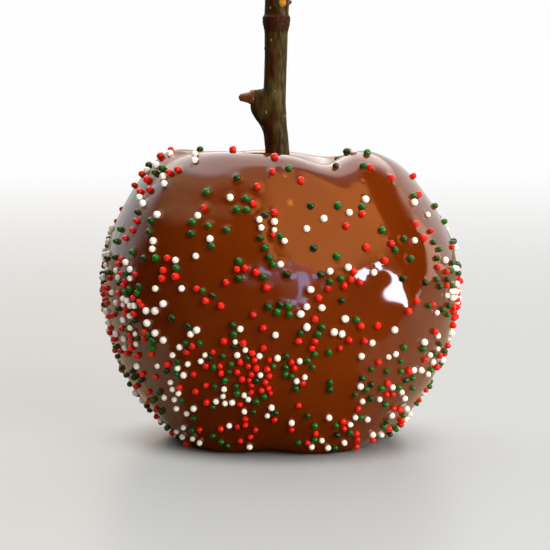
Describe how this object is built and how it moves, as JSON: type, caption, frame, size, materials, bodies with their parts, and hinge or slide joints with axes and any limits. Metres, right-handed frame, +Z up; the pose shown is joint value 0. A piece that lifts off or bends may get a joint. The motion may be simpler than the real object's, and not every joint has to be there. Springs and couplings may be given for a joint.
{
  "type": "chocolate covered apple",
  "caption": "Whole apple dipped in milk chocolate and scattered with red, green and white nonpareils, standing on its flat foot with a twig for a stick.",
  "frame": {"origin": "middle of the flat foot on which the coated apple stands", "axes": "+Z up along the apple's core and the twig, -Y towards the shown front, +X to the viewer's right"},
  "size_m": [0.0836, 0.0818, 0.1438],
  "materials": {
    "chocolate": "set milk chocolate, glossy and smooth, with round sugar nonpareils in red, green and off-white",
    "bark": "thin grey-brown bark of a live twig, matt, with pale lenticels and reddish buds"
  },
  "bodies": {
    "root": {"coated_apple": "chocolate", "twig": "bark"}
  },
  "joints": []
}
